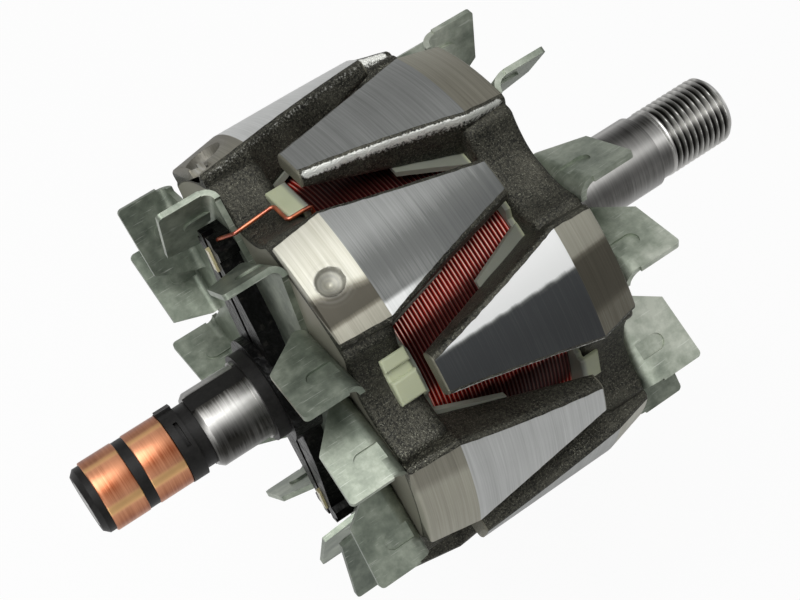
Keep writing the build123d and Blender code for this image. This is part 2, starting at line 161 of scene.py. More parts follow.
sky = Sky("studio")
sky.shader.inputs["Color"].default_value = (1, 1, 1, 1)
ray_way = sky.node("ShaderNodeTexCoord", {}, {}, "Generated")
height = sky.node("ShaderNodeSeparateXYZ", {}, {0: ray_way}, "Z")
horizon_light, soft_light = 0.28, 0.08
mirrored_light = horizon_light + height.rise(0.30, 0.80) * (1 - horizon_light)
mirrored = sky.node("ShaderNodeLightPath", {}, {}, "Is Glossy Ray") * mirrored_light
direct = sky.node("ShaderNodeLightPath", {}, {}, "Is Camera Ray")
sky.set(Strength=mirrored.math("MAXIMUM", direct).math("MAXIMUM", soft_light))
lamps = (("key", (-0.25, 0.05, 0.85), 0.60, 5.4), ("fill", (-0.60, -0.45, 0.30), 0.45, 1.3))
for name, spot, size, power in lamps:
    lamp = bpy.data.lights.new(name, "AREA")
    lamp.energy, lamp.size = power, size
    holder = bpy.data.objects.new(name, lamp)
    turn = (-Vector(spot)).to_track_quat("-Z", "Y").to_matrix().to_4x4()
    holder.matrix_world = Matrix.Translation(spot) @ turn
    bpy.context.scene.collection.objects.link(holder)
floor_half, floor_z = 9, -0.16
floor_corners = [(x * floor_half, y * floor_half, floor_z) for x, y in ((-1, -1), (1, -1), (1, 1), (-1, 1))]
floor_mesh = bpy.data.meshes.new("floor")
floor_mesh.from_pydata(floor_corners, [], [(0, 1, 2, 3)])
floor = bpy.data.objects.new("floor", floor_mesh)
bpy.context.scene.collection.objects.link(floor)
pale = Finish("pale_floor", Roughness=0.9)
pale.set(Base_Color=pale.blend(pale.noise(3.0), grey(0.93), grey(0.96)))
white = pale.node("ShaderNodeEmission", {}, {"Color": (1, 1, 1, 1), "Strength": 1.0}, "Emission")
white_share = (pale.node("ShaderNodeLightPath", {}, {}, "Is Camera Ray") * 0.95
               + pale.node("ShaderNodeLightPath", {}, {}, "Is Glossy Ray") * 0.60)
lit = Field(pale, pale.shader.outputs["BSDF"])
backdrop = pale.node("ShaderNodeMixShader", {}, {0: white_share, 1: lit, 2: white}, "Shader")
pale.tree.links.new(backdrop.socket, pale.tree.nodes["Material Output"].inputs["Surface"])
floor_mesh.materials.append(pale.material)


# Claw poles: two steel forgings whose six claws each reach over the winding. The outer faces and the
# shallow shoulders are turned bright, and their light and dark patches are painted reflections; margins,
# flanks and the hollows between the claws stay as forged, with a painted highlight along the rounded edges.
pack_r, rim_half, shoulder_half, tip_half = 49.3, 12.9, 13.6, 3.6
margin_w, margin_drop, flank_out = 1.0, 0.45, 0.8
claw_root_r, claw_tip_r = 38.8, 46.2
valley_centre, valley_bend, valley_half = 55.3, 15.1, 13.4
bore_r, hub_r = 9.2, 26.0
slip_angle, slip_face, slip_web, slip_tip, slip_taper, slip_rim_r = -10.3, -31.3, -20.3, 10.4, 10.5, 47.6
pulley_angle, pulley_face, pulley_web, pulley_tip = -40.3, 22.9, 12.3, -18.6
pulley_taper, pulley_rim_r = 9.15, 47.2


class Skin:
    """Points, quads and named values of one piece, gathered grid by grid, in millimetres."""

    def __init__(self):
        self.points, self.faces, self.values, self.count = [], [], {}, 0

    def grid(self, points, loop=False, ends=False, **values):
        """Adds a rows by columns grid turned to face outwards; loop joins its last column to the first,
        and ends closes the first and last rows at their middles."""
        points = np.asarray(points, float)
        named = {key: np.broadcast_to(np.asarray(v, float), points.shape[:2]) for key, v in values.items()}
        if ends:
            first, last = points[0].mean(0), points[-1].mean(0)
            cap = [np.broadcast_to(p, points[0].shape)[None] for p in (first, last)]
            points = np.concatenate([cap[0], points, cap[1]])
            named = {key: np.concatenate([v[:1], v, v[-1:]]) for key, v in named.items()}
        rows, columns = points.shape[:2]
        i, j = np.meshgrid(np.arange(rows - 1), np.arange(columns if loop else columns - 1), indexing="ij")
        k = (j + 1) % columns
        quads = np.stack([i * columns + j, i * columns + k, (i + 1) * columns + k, (i + 1) * columns + j], -1)
        quads = quads.reshape(-1, 4)
        flat = points.reshape(-1, 3)
        a, b, c, d = (flat[quads[:, n]] for n in range(4))
        volume = (np.cross(b - a, c - a) * a).sum() + (np.cross(c - a, d - a) * a).sum()
        if volume < 0:
            quads = quads[:, ::-1]
        self.points.append(flat)
        self.faces.append(quads + self.count)
        self.count += len(flat)
        for key in set(self.values) | set(named):
            made = named[key].reshape(-1) if key in named else np.zeros(len(flat))
            before = self.values.get(key, [np.zeros(self.count - len(flat))])
            self.values[key] = before + [made]

    def piece(self, name, node, finish, angle=60):
        """Makes the mesh, closes its seams and poles, and gives it to the rotor."""
        mesh = bpy.data.meshes.new(name)
        points = np.concatenate(self.points) / 1000
        faces = np.concatenate(self.faces)
        mesh.from_pydata(points.tolist(), [], faces.tolist())
        for key, values in self.values.items():
            kept = mesh.attributes.new(key, "FLOAT", "POINT")
            kept.data.foreach_set("value", np.concatenate(values).astype(np.float32))
        mesh.materials.append(finish.material)
        joined = bmesh.new()
        joined.from_mesh(mesh)
        bmesh.ops.remove_doubles(joined, verts=joined.verts, dist=2e-6)
        joined.to_mesh(mesh)
        joined.free()
        mesh.polygons.foreach_set("use_smooth", np.ones(len(mesh.polygons), bool))
        mesh.set_sharp_from_angle(angle=math.radians(angle))
        made = bpy.data.objects.new(name, mesh)
        bpy.context.scene.collection.objects.link(made)
        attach(made, "root")
        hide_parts(node)


def around(x, r, angle):
    """Points at x along the shaft, radius r and this angle in degrees from +Z towards +Y."""
    x, r, angle = np.broadcast_arrays(x, r, np.radians(angle))
    return np.stack([x, r * np.sin(angle), r * np.cos(angle)], -1)


def lumps(points, seed):
    """Low waves of a forged skin: a sum of eight sines with seeded directions, 5 to 12 mm long."""
    rng = np.random.default_rng(seed)
    total = np.zeros(points.shape[:-1])
    for _ in range(8):
        way = rng.normal(size=3)
        way *= 2 * np.pi / (rng.uniform(5, 12) * np.linalg.norm(way))
        total += np.sin(points @ way + rng.uniform(0, 6.28))
    return total / 4


def ragged(s, seed):
    """Uneven line of a turned edge: a sum of sines along s, 1 to 6 mm long, about 1 high."""
    rng = np.random.default_rng(seed)
    return sum(np.sin(2 * np.pi * s / rng.uniform(0.9, 6) + rng.uniform(0, 6.28)) for _ in range(9)) / 3


def step(value, low, high):
    """0 below low and 1 above high, with a smooth step between them."""
    t = np.clip((value - low) / (high - low), 0, 1)
    return t * t * (3 - 2 * t)


def corner(before, at, after, cut, n):
    """Rounded corner of a section: the quadratic curve from a point cut before it to one cut after it."""
    way_in, way_out = at - before, after - at
    long_in = np.linalg.norm(way_in, axis=-1, keepdims=True)
    long_out = np.linalg.norm(way_out, axis=-1, keepdims=True)
    start = at - way_in / long_in * np.minimum(cut, 0.45 * long_in)
    end = at + way_out / long_out * np.minimum(cut, 0.45 * long_out)
    t = np.linspace(0, 1, n)[:, None, None]
    return (1 - t) ** 2 * start + 2 * t * (1 - t) * at + t * t * end


def section_point(r, angle):
    """Point of a claw's section at radius r and an angle in degrees from its middle: sideways, outwards."""
    return np.stack([r * np.sin(np.radians(angle)), r * np.cos(np.radians(angle))], -1)


def between(first, last, n):
    """n rows of points spread evenly along the straight lines from first to last, both left out."""
    return first + (last - first) * np.linspace(0, 1, n + 2)[1:-1, None, None]


def claw_half(share):
    """Half angle of a claw's turned face, from the end of its shoulder (0) to its tip (1)."""
    share = np.clip(share, 0, 1)
    return shoulder_half + (tip_half - shoulder_half) * share - 1.6 * share * (1 - share)


def claw(skin, angle, face, web, tip, taper, rim_r, seed, shine, drillings, edge_highlight_sides):
    """One claw as closed sections from the face to the tip. A section runs over the turned top, down the
    margin and the flank, round the lower edge and along the underside. The reflection function, given
    (a, s), is the painted reflection on the turned steel at a degrees from the middle and s mm from the face.
    A drilling is (x, angle, radius, radius of its floor); without an x it is a scallop cut in from the face.
    The last argument is how strong the painted highlight on the rounded edges is, on the side of greater and
    of smaller angles."""
    way, length, thick = (1 if tip > face else -1), abs(tip - face), abs(web - face)
    fine = len(drillings) > 0
    on_taper = np.linspace(0.6, taper - 0.3, 44 if fine else 9)
    s = np.concatenate([
        [0.03, 0.12, 0.3, 0.34], on_taper, [taper - 0.04, taper + 0.04],
        np.linspace(taper + 0.5, length - 1.2, 36), length - np.array([0.6, 0.32, 0.28, 0.1, 0]),
    ])
    slope = np.clip(s / taper, 0, 1)
    fall = np.clip((s - taper) / (length - taper), 0, 1)
    top_r = rim_r + (pack_r - rim_r) * slope - 0.3 * np.clip(1 - s / 0.32, 0, 1)
    top_r = top_r - 0.25 * np.clip(1 - (length - s) / 0.3, 0, 1)
    half = claw_half(fall) - (shoulder_half - rim_half) * (1 - slope)
    reach = np.clip((s - thick) / (length - thick), 0, 1)
    under_r = claw_root_r - 0.6 + (claw_tip_r - claw_root_r) * reach
    sides = []
    for hand in (1, -1):
        edge = half + np.degrees(0.055 / pack_r) * ragged(s, seed + hand)
        margin = half - edge + np.degrees(margin_w / top_r)
        drop_r = top_r - margin_drop
        low = edge + margin + np.degrees(flank_out / under_r)
        share = np.concatenate([np.linspace(0, 1, 56 if fine else 16)[:-1], [1 - 0.05 / 11, 1]])
        top = section_point(top_r, edge * share[:, None])
        turned_edge, outer, inner = top[-1], section_point(drop_r, edge + margin), section_point(under_r, low)
        middle = section_point(under_r, 0 * low)
        gone = (outer - turned_edge) / np.linalg.norm(outer - turned_edge, axis=-1, keepdims=True)
        near = (turned_edge + gone * 0.06)[None]
        shoulder = corner(near[0], outer, inner, 1.3, 8)
        hem = corner(outer, inner, middle, 1.5, 7)
        side = np.concatenate([
            top, near, between(near[0], shoulder[0], 3), shoulder, between(shoulder[-1], hem[0], 7), hem,
            between(hem[-1], middle, 3), middle[None],
        ])
        side = side.transpose(1, 0, 2)
        side[..., 0] *= hand
        sides.append(side)
    n_top = len(share)
    section = np.concatenate([sides[1][:, :0:-1], sides[0][:, :-1]], 1)
    n_side = sides[0].shape[1]
    turned = np.zeros(section.shape[1])
    turned[n_side - n_top : n_side - 1 + n_top] = 1
    a = np.degrees(np.arctan2(section[..., 0], section[..., 1])) + angle
    r = np.hypot(section[..., 0], section[..., 1])
    points = around((face + way * s)[:, None], r, a)
    centre = around((face + way * s)[:, None], (top_r + under_r)[:, None] / 2, angle)
    out = points - centre
    out /= np.linalg.norm(out, axis=-1, keepdims=True)
    off_end = np.clip(np.minimum(s - 0.3, length - s) / 1.0, 0, 1)
    distance = np.abs(np.arange(len(turned)) - (n_side - 1)) - (n_top - 1)
    rough = np.clip(distance / 3, 0, 1)[None, :, None]
    points += out * (lumps(points, seed)[..., None] * 0.07 * rough * off_end[:, None, None])
    ring = np.zeros(a.shape)
    for x, at_angle, width, bottom in drillings:
        across = pack_r * np.radians(a - at_angle)
        if x is None:
            inside = (s[:, None] < 3.5) & (np.abs(across) < width) & (turned[None] > 0)
            floor_r = bottom - np.sqrt(np.maximum(width ** 2 - across ** 2, 0))
            points = np.where((inside & (r > floor_r))[..., None], around(points[..., 0], floor_r, a), points)
            continue
        gap = np.hypot(across, points[..., 0] - x)
        depth_r = bottom - 0.55 * (width - gap)
        wall = np.clip((width + 0.1 - gap) / 0.2, 0, 1)
        carved = r + (np.minimum(depth_r, r) - r) * wall
        points = np.where((wall * turned > 0)[..., None], around(points[..., 0], carved, a), points)
        # Drill-mark rings in and around the pit. Inside the pit, painted shade draws the turned colour
        # towards mid grey, everywhere except the pit's centre.
        inside = 0.38 + 0.22 * np.cos(gap * 7.5) - np.exp(-((gap / 0.55) ** 2))
        outside = 0.22 * (0.5 + 0.5 * np.cos(gap * 6.5)) * np.clip(1 - (gap - width) / 2.4, 0, 1)
        ring = np.maximum(ring, np.where(gap < width, inside, outside) * (turned > 0))
    # Painted reflection on the turned steel, from the claw's reflection function.
    bright = shine(a - angle, np.broadcast_to(s[:, None], a.shape))
    # Painted highlight along the rounded edges, as strong on each side as the claw's last argument gives.
    hand = np.where(np.arange(len(turned)) >= n_side, edge_highlight_sides[0], edge_highlight_sides[1])
    worn = hand * np.clip(1.3 - np.abs(distance - 9) / 5, 0, 1) * off_end[:, None]
    end = np.broadcast_to(step(s, length - 0.31, length - 0.29)[:, None], a.shape)
    skin.grid(points, loop=True, ends=True, turned=np.broadcast_to(turned, a.shape) * (1 - end), shine=bright,
              taper=np.broadcast_to((s < taper)[:, None], a.shape), ring=ring, end=end, worn=worn)


def star_web(skin, first, face, web, seed):
    """Web of a pole, closed round the bore: the hollows between the claws are arcs, rough and rounded at
    both edges; the face is turned."""
    way, thick = (1 if web > face else -1), abs(web - face)
    angle = np.linspace(0, 360, 6 * 64, endpoint=False) + first + 30
    off = np.abs((angle - first) % 60 - 30)
    hollow = np.radians(np.minimum(off, valley_half))
    sideways = valley_centre * np.sin(hollow)
    outline = valley_centre * np.cos(hollow) - np.sqrt(valley_bend ** 2 - sideways ** 2)
    depth = np.concatenate([
        [0, 0.05, 0.35, 1.0], np.linspace(1.8, thick - 2.4, 14), thick - np.array([1.6, 0.8, 0.25, 0]),
    ])
    back = np.concatenate([[1.1, 0.8, 0.3, 0.05], np.zeros(14), [0.15, 0.5, 1.0, 1.7]])
    rows = [around(face, bore_r, angle), around(face, outline - 1.35, angle)]
    rough = [0, 0]
    for d, b in zip(depth, back):
        rows.append(around(face + way * d, outline - b, angle))
        rough.append(1)
    rows += [around(web, hub_r, angle), around(web, bore_r, angle), around(face, bore_r, angle)]
    rough += [0, 0, 0]
    points = np.stack(rows)
    rough = np.array(rough, float)[:, None] * np.ones(points.shape[1])
    inner = np.clip(1 - off / valley_half, 0, 1)[None]
    radial = around(0.0, 1.0, angle)[None]
    points = points + radial * (lumps(points, seed) * 0.3 * rough * inner)[..., None]
    face_rows = np.array([1, 1] + [0] * (len(rows) - 3) + [1], float)[:, None]
    skin.grid(points, loop=True, turned=face_rows, shine=0.55, taper=1.0)


forged = Finish("forged_steel")
turned = forged.kept("turned")
shine = forged.kept("shine")
taper = forged.kept("taper")
end = forged.kept("end")
drilled = forged.kept("ring")
lines = forged.noise(900.0, 2.0, 0.6, forged.stretched(1.0, 0.02, 0.02))
fine_lines = forged.noise(3800.0, 1.0, 0.5, forged.stretched(1.0, 0.015, 0.015))
stain = forged.noise(55.0, 4.0, 0.6)
grit = forged.noise(3600.0, 2.0, 0.6)
crust = forged.noise(1900.0, 3.0, 0.6)
patch = forged.noise(110.0, 3.0, 0.55)
# The tone of the turned steel is the painted reflection, with turning lines and stains over it; the ramps
# below colour it.
level = shine * 0.92 - 0.04 + (lines - 0.5) * 0.10 + (fine_lines - 0.5) * 0.16 + (stain - 0.5) * 0.10
bright_face = forged.node("ShaderNodeValToRGB", {"stops": (
    (0.0, (0.045, 0.048, 0.050, 1)), (0.3, (0.13, 0.135, 0.13, 1)), (0.6, (0.40, 0.41, 0.40, 1)),
    (1.0, (0.93, 0.94, 0.93, 1)),
)}, {0: level}, "Color")
tan_face = forged.node("ShaderNodeValToRGB", {"stops": (
    (0.0, (0.05, 0.045, 0.032, 1)), (0.3, (0.14, 0.13, 0.10, 1)), (0.6, (0.42, 0.41, 0.34, 1)),
    (1.0, (0.92, 0.92, 0.86, 1)),
)}, {0: level}, "Color")
machined = forged.blend(taper, bright_face, tan_face)
machined = forged.blend(drilled, machined, (0.30, 0.30, 0.285, 1))
# Painted highlight on the claws' rounded edges, broken up by the scale.
edge_highlight = forged.kept("worn")
crumpled = forged.noise(42.0, 3.0, 0.6).rise(0.56, 0.68)
scale = forged.blend(crust.rise(0.36, 0.66), (0.008, 0.008, 0.006, 1), (0.058, 0.056, 0.042, 1))
scale = forged.blend(patch.rise(0.40, 0.75) * 0.4, scale, (0.100, 0.097, 0.075, 1))
scale = forged.blend(grit.rise(0.56, 0.70) * (0.55 + crumpled * 0.45), scale, (0.28, 0.28, 0.22, 1))
broken_edge_highlight = (edge_highlight + (crust - 0.5) * 1.2).rise(0.45, 0.9) * edge_highlight.rise(0.0, 0.2)
scale = forged.blend(broken_edge_highlight, scale, (0.86, 0.87, 0.82, 1))
scale = forged.blend(end, scale, (0.17, 0.165, 0.125, 1))
as_forged = 1 - turned
forged.set(
    Base_Color=forged.blend(turned, scale, machined),
    Roughness=0.50 - turned * (fine_lines - 0.5) * 0.1 + ((grit - 0.5) * 0.3 - crumpled * 0.16) * as_forged,
    Metallic=0.60 - turned * 0.05,
)
rough_height = (crust * 0.6 + grit * 0.6 + patch * 0.8) * as_forged
forged.bump(rough_height + turned * (fine_lines * 0.02 + lines * 0.02), 0.00024, 1.0)


def painted_reflection_hidden(a, s):
    """Painted reflection for the claws that the camera doesn't see: even light grey, a little darker to one
    side.
    """
    return 0.6 + 0.012 * a


def painted_reflection_upper_slip(a, s):
    """Painted reflection: near-white outer face, beige shoulder."""
    return np.where(s < slip_taper, 0.36 - 0.01 * a, 0.92)


def painted_reflection_near_slip(a, s):
    """Painted reflection: creamy shoulder that turns dark below the drilling; grey outer face, dark lower
    half, pale corner.
    """
    shoulder = 0.74 - 0.82 * step(-a, 0.2 + 0.25 * s, 4.0 + 0.25 * s) + 0.62 * step(-a, 8.2, 10.2)
    outer = 0.54 - 0.22 * step(-a, -6, 4) - 0.10 * step(s, 22, 40)
    outer = outer + 0.10 * step(-a, 2, 9) * (1 - step(s, 20, 30))
    pale_corner = step(-a - 10.6 + 0.05 * (s - slip_taper), -0.6, 0.6) * (1 - step(s, 14, 24))
    return np.where(s < slip_taper, shoulder, outer + 0.55 * pale_corner)


def painted_reflection_lower_slip(a, s):
    """Painted reflection: beige shoulder with a grey patch at the top; light outer face."""
    return np.where(s < slip_taper, 0.64 - 0.14 * step(a, 6, 9), 0.80)


def painted_reflection_upper_pulley(a, s):
    """Painted reflection: mid-grey all over."""
    return np.where(s < pulley_taper, 0.52 + 0.006 * a, 0.49 + 0.004 * a)


def painted_reflection_near_pulley(a, s):
    """Painted reflection: outer face brilliant above a slanting edge and dark below it; shoulder grey, dark,
    then beige.
    """
    shoulder = 0.66 - 0.50 * step(-a, -6.5, -4.5) + 0.24 * step(-a, 6.5, 8.5)
    outer = 0.05 + 1.22 * step(a - 4.1 + 0.10 * ragged(s, 5), -0.8, 0.8)
    return np.where(s < pulley_taper, shoulder, outer)


slip_painted_reflection = {0: painted_reflection_near_slip, 1: painted_reflection_upper_slip, 5: painted_reflection_lower_slip}
slip_drillings = {
    0: [(-26.5, -10.9, 2.6, 47.4)],
    1: [(-27.1, 46.0, 3.8, 46.6), (None, 41.0, 3.0, 48.2)],
}
slip_pole = Skin()
star_web(slip_pole, slip_angle, slip_face, slip_web, 3)
for k in range(6):
    claw(slip_pole, slip_angle + 60 * k, slip_face, slip_web, slip_tip, slip_taper, slip_rim_r, 20 + 5 * k,
         slip_painted_reflection.get(k, painted_reflection_hidden), slip_drillings.get(k, ()), (0.15, 0.45))
slip_pole.piece("slip_side_claw_pole", "slip_side_pole", forged)

pulley_painted_reflection = {0: painted_reflection_near_pulley, 1: painted_reflection_upper_pulley}
pulley_pole = Skin()
star_web(pulley_pole, pulley_angle, pulley_face, pulley_web, 4)
for k in range(6):
    claw(pulley_pole, pulley_angle + 60 * k, pulley_face, pulley_web, pulley_tip, pulley_taper, pulley_rim_r,
         60 + 5 * k, pulley_painted_reflection.get(k, painted_reflection_hidden), (), (0.15, 1.0))
pulley_pole.piece("pulley_side_claw_pole", "pulley_side_pole", forged)

# Field winding: red enamelled copper wire, machine-wound on the former in one long helix.
# Only the crests of its outer layer show, between the claws, so that layer is cut turn by turn.
winding_r, winding_in_r, wire_d, turns = 37.3, 27.2, 0.85, 35
first_turn, last_turn, beside_claw = -19.1, 11.1, 2.3


def wound(first_x, last_x, r, count):
    """Outer layer of the winding: along each turn the radius is r less the drop of a round wire, and the
    whole pattern moves one pitch along the shaft per turn round it. Each turn sits a little unevenly."""
    pitch = (last_x - first_x) / count
    rng = np.random.default_rng(11)
    row = np.arange(count * 8 + 1)
    uneven = np.interp(row, row[::8], rng.normal(0, 0.05, count + 1))
    across = np.linspace(0, count, count * 8 + 1)[:, None]
    angle = np.linspace(0, 360, 180, endpoint=False)[None]
    phase = (across + angle / 360) % 1.0 - 0.5
    drop = 0.5 * wire_d - np.sqrt(np.maximum((0.5 * wire_d) ** 2 - (phase * pitch * 0.98) ** 2, 0))
    height = r - drop + uneven[:, None] + 0.05 * np.sin(np.radians(angle * 5) + across)
    points = around(first_x + across * pitch, np.minimum(height, r), angle)
    x = points[..., 0]
    slip_root, pulley_root = slip_face + slip_taper, pulley_face - pulley_taper
    past_slip = claw_half((x - slip_root) / (slip_tip - slip_root)) + beside_claw
    past_pulley = claw_half((pulley_root - x) / (pulley_root - pulley_tip)) + beside_claw
    from_slip = np.abs((angle - slip_angle + 30) % 60 - 30) - past_slip
    from_pulley = np.abs((angle - pulley_angle + 30) % 60 - 30) - past_pulley
    # Painted shade: dark beside the pulley claws and under the slip claws.
    open_share = from_pulley / np.maximum(from_slip + from_pulley, 0.5)
    shade = np.maximum(1 - step(open_share, 0.08, 0.50), 1 - step(from_slip, -0.6, 0.5))
    return points, np.abs(phase) * 2, shade


coil = Skin()
outer_layer, hollow, shade = wound(first_turn, last_turn, winding_r, turns)
full = np.linspace(0, 360, 180, endpoint=False)[None]
start_ring, end_ring = around(first_turn, winding_in_r, full), around(last_turn, winding_in_r, full)
zeros, ones = np.zeros((1, 180)), np.ones((1, 180))
coil.grid(np.concatenate([start_ring, outer_layer, end_ring, start_ring]), loop=True,
          groove=np.concatenate([zeros, hollow, zeros, zeros]),
          shade=np.concatenate([ones, shade, ones, ones]))
enamel = Finish("red_enamel_wire", Specular_IOR_Level=0.08, Roughness=0.38)
groove = enamel.kept("groove")
batch = enamel.noise(60.0, 2.0, 0.5)
wire_red = enamel.blend(batch.rise(0.3, 0.7), (0.34, 0.010, 0.005, 1), (0.66, 0.026, 0.012, 1))
# Painted highlight: a pale line along each wire's crest. Painted shade: near black in the grooves between the
# wires.
painted_crest_highlight = enamel.blend(1 - groove.rise(0.06, 0.30), wire_red, (1.0, 0.78, 0.66, 1))
wire = enamel.blend(groove.rise(0.50, 0.90), painted_crest_highlight, (0.020, 0.0005, 0.0005, 1))
# Painted shade on the wire beside and under the claws.
enamel.set(
    Base_Color=enamel.blend(enamel.kept("shade") * 0.88, wire, (0.010, 0.004, 0.004, 1)),
    Metallic=0.20 + (1 - groove.rise(0.06, 0.30)) * 0.5,
)
coil.piece("winding_turns", "field_winding", enamel, angle=80)

# Shaft: one steel turning with ground seats, a plain neck, an M16 x 1.5 thread for the pulley nut and
# two grooves under the slip-side seat for the ring conductors.
seat_r, shoulder_r, core_r, neck_r = 8.5, 8.9, 5.2, 7.8
thread_r, thread_pitch, thread_deep, thread_from, thread_to = 7.98, 1.5, 0.9, 63.6, 79.6
groove_angle, groove_half_w = 22.5, 2.2
plain = [
    (-80.4, 4.9), (-80.1, core_r), (-54.3, core_r), (-54.3, 7.7), (-53.4, 8.45), (-53.2, seat_r),
    (-42.4, seat_r), (-42.4, shoulder_r), (24.8, shoulder_r), (24.8, seat_r), (59.9, seat_r), (60.1, 8.4),
    (60.1, neck_r), (63.4, neck_r),
]


def painted_light_stripes(angle, *bumps):
    """Painted reflection: light and dark stripes along a round bar, a sum of bell curves, each (middle,
    width, height).
    """
    angle = (np.asarray(angle) + 180) % 360 - 180
    return sum(height * np.exp(-(((angle - middle) / width) ** 2)) for middle, width, height in bumps)


thread_x = np.arange(thread_from, 79.2, thread_pitch / 14)
shaft_x = np.concatenate([np.array(plain)[:, 0], thread_x, [79.45, 80.4]])
shaft_base = np.concatenate([
    np.array(plain)[:, 1], np.full(len(thread_x), thread_r), [thread_r - 0.1, thread_r - 1.0],
])[:, None]
groove_side = np.degrees(np.arcsin(groove_half_w / seat_r))
groove_edges = [
    groove_angle + turn + hand * groove_side + tiny
    for turn in (0, 180) for hand in (1, -1) for tiny in (-0.2, 0.2)
]
shaft_angle = np.sort(np.concatenate([np.linspace(0, 360, 128, endpoint=False), groove_edges]))
turn_x = (shaft_x[:, None] - thread_from) / thread_pitch - shaft_angle[None] / 360
tooth = np.abs((turn_x % 1.0) - 0.5) * 2
run_in = np.clip((shaft_x - thread_from) / 1.2, 0, 1) * np.clip((thread_to - shaft_x) / 0.9, 0, 1)
cut = np.clip(1.25 * tooth - 0.12, 0, 1) * thread_deep * run_in[:, None]
shaft_r = shaft_base - cut
from_groove = np.minimum(np.abs(shaft_angle - groove_angle), np.abs(shaft_angle - groove_angle - 180))
in_groove = (from_groove < groove_side)[None] & ((shaft_x > -54.4) & (shaft_x < -34.0))[:, None]
shaft_r = np.where(in_groove, np.minimum(shaft_r, core_r / np.cos(np.radians(from_groove))[None]), shaft_r)
rod = Skin()
# Painted reflection: light and dark stripes along the shaft.
shaft_painted_stripes = painted_light_stripes(
    shaft_angle[None], (-24, 9, 0.42), (14, 18, -0.24), (44, 6, 0.20), (-64, 20, -0.18), (-110, 10, 0.25)
)
rod.grid(around(shaft_x[:, None], shaft_r, shaft_angle[None]), loop=True, ends=True,
         deep=cut / thread_deep, gleam=shaft_painted_stripes)
steel = Finish("ground_steel", Metallic=1.0)
steel_lines = steel.noise(2600.0, 2.0, 0.6, steel.stretched(1.0, 0.03, 0.03))
steel_wide = steel.noise(160.0, 2.0, 0.5, steel.stretched(1.0, 0.3, 0.3))
steel_x = steel.axis("X")
threaded = steel_x.rise(63.0, 63.6)
pulley_end = steel_x.rise(20.0, 21.0)
# Tone of the ground steel: painted reflection stripes and painted shade in the thread's roots, over turning
# lines; the thread and the pulley end are lighter.
steel_level = (
    0.20 + (steel_lines - 0.5) * 0.22 + (steel_wide - 0.5) * 0.16 + steel.kept("gleam")
    + pulley_end * 0.10 + threaded * 0.32 - steel.kept("deep") * 0.62
)
steel.set(
    Base_Color=steel.blend(steel_level, (0.030, 0.029, 0.026, 1), (0.86, 0.85, 0.82, 1)),
    Roughness=0.30 + steel_lines * 0.08,
)
steel.bump(steel_lines, 0.00002, 1.0)
rod.piece("shaft_turning", "shaft", steel, angle=38)

# Slip rings: two copper bands shrunk on the black moulding, which keeps them apart.
# They are turned after fitting, polished by the brushes, and have small rounded edges.
copper = Finish("ring_copper", Metallic=1.0)
copper_lines = copper.noise(3000.0, 2.0, 0.6, copper.stretched(1.0, 0.02, 0.02))
copper_bands = copper.noise(420.0, 2.0, 0.5, copper.stretched(1.0, 0.02, 0.02))
# Painted reflection: light and dark stripes round the rings, with a golden painted highlight where they are
# light.
copper_painted_stripes = copper.kept("gleam")
copper_plain = copper.blend(
    copper_lines * 0.5 + copper_bands * 0.5 + copper_painted_stripes, (0.22, 0.060, 0.024, 1), (0.90, 0.44, 0.25, 1)
)
copper.set(
    Base_Color=copper.blend(copper_painted_stripes.rise(0.15, 0.60), copper_plain, (1.0, 0.60, 0.27, 1)),
    Roughness=0.28 + copper_bands * 0.14,
)
copper.bump(copper_lines, 0.00002, 1.0)
ring_in_r, ring_out_r = 6.9, 7.77
ring_angle = np.linspace(0, 360, 96, endpoint=False)[None]
# Painted reflection stripes round the rings.
ring_painted_stripes = painted_light_stripes(
    ring_angle, (-52, 9, 0.75), (-22, 14, -0.40), (22, 7, 0.50), (52, 16, -0.35), (-86, 14, -0.30)
)
for name, node, start, end_x in (("outer_ring_band", "outer_slip_ring", -77.9, -70.36),
                                 ("inner_ring_band", "inner_slip_ring", -68.11, -60.32)):
    edge = [(0, ring_out_r - 0.17), (0.05, ring_out_r - 0.11), (0.16, ring_out_r - 0.02), (0.22, ring_out_r)]
    outline = np.array(
        [(start, ring_in_r)] + [(start + x, r) for x, r in edge] + [(start + 3, ring_out_r)]
        + [(end_x - x, r) for x, r in reversed(edge)] + [(end_x, ring_in_r), (start, ring_in_r)]
    )
    band = Skin()
    band.grid(around(outline[:, :1], outline[:, 1:], ring_angle), loop=True, gleam=ring_painted_stripes)
    band.piece(name, node, copper, angle=40)

# Slip ring moulding: black glass-filled plastic, moulded round the shaft's end and in its two grooves.
# It carries the rings and insulates them; the surface is satin, with a fine grain.


def coat(names, finish):
    """Gives CAD pieces whose shape is right their finish."""
    for name in names:
        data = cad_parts[name].data
        data.materials.clear()
        data.materials.append(finish.material)


black = Finish("black_moulding", Specular_IOR_Level=0.18)
black_grain = black.noise(900.0, 3.0, 0.6)
black.set(
    Base_Color=black.blend(black_grain, (0.004, 0.004, 0.004, 1), (0.022, 0.021, 0.020, 1)),
    Roughness=0.34 + black_grain * 0.22,
)
black.bump(black_grain, 0.00006, 0.5)
coat(["slip_ring_carrier"], black)

# Wire guide: black moulding with two arms that lead the coil's wires out to the rim.
# It is varnished once the wires are in, so it is glossy, with drips and a little dust.
varnish = Finish("black_guide", Specular_IOR_Level=0.10, Coat_Weight=0.06, Coat_Roughness=0.06)
dust = varnish.noise(500.0, 4.0, 0.65)
drips = varnish.noise(170.0, 3.0, 0.6)
varnish.set(
    Base_Color=varnish.blend(dust.rise(0.55, 0.85), (0.003, 0.003, 0.003, 1), (0.045, 0.042, 0.036, 1)),
    Roughness=0.18 + dust * 0.3,
)
varnish.bump(drips * 0.9 + dust * 0.25, 0.0012, 1.0)
coat(["wire_guide"], varnish)

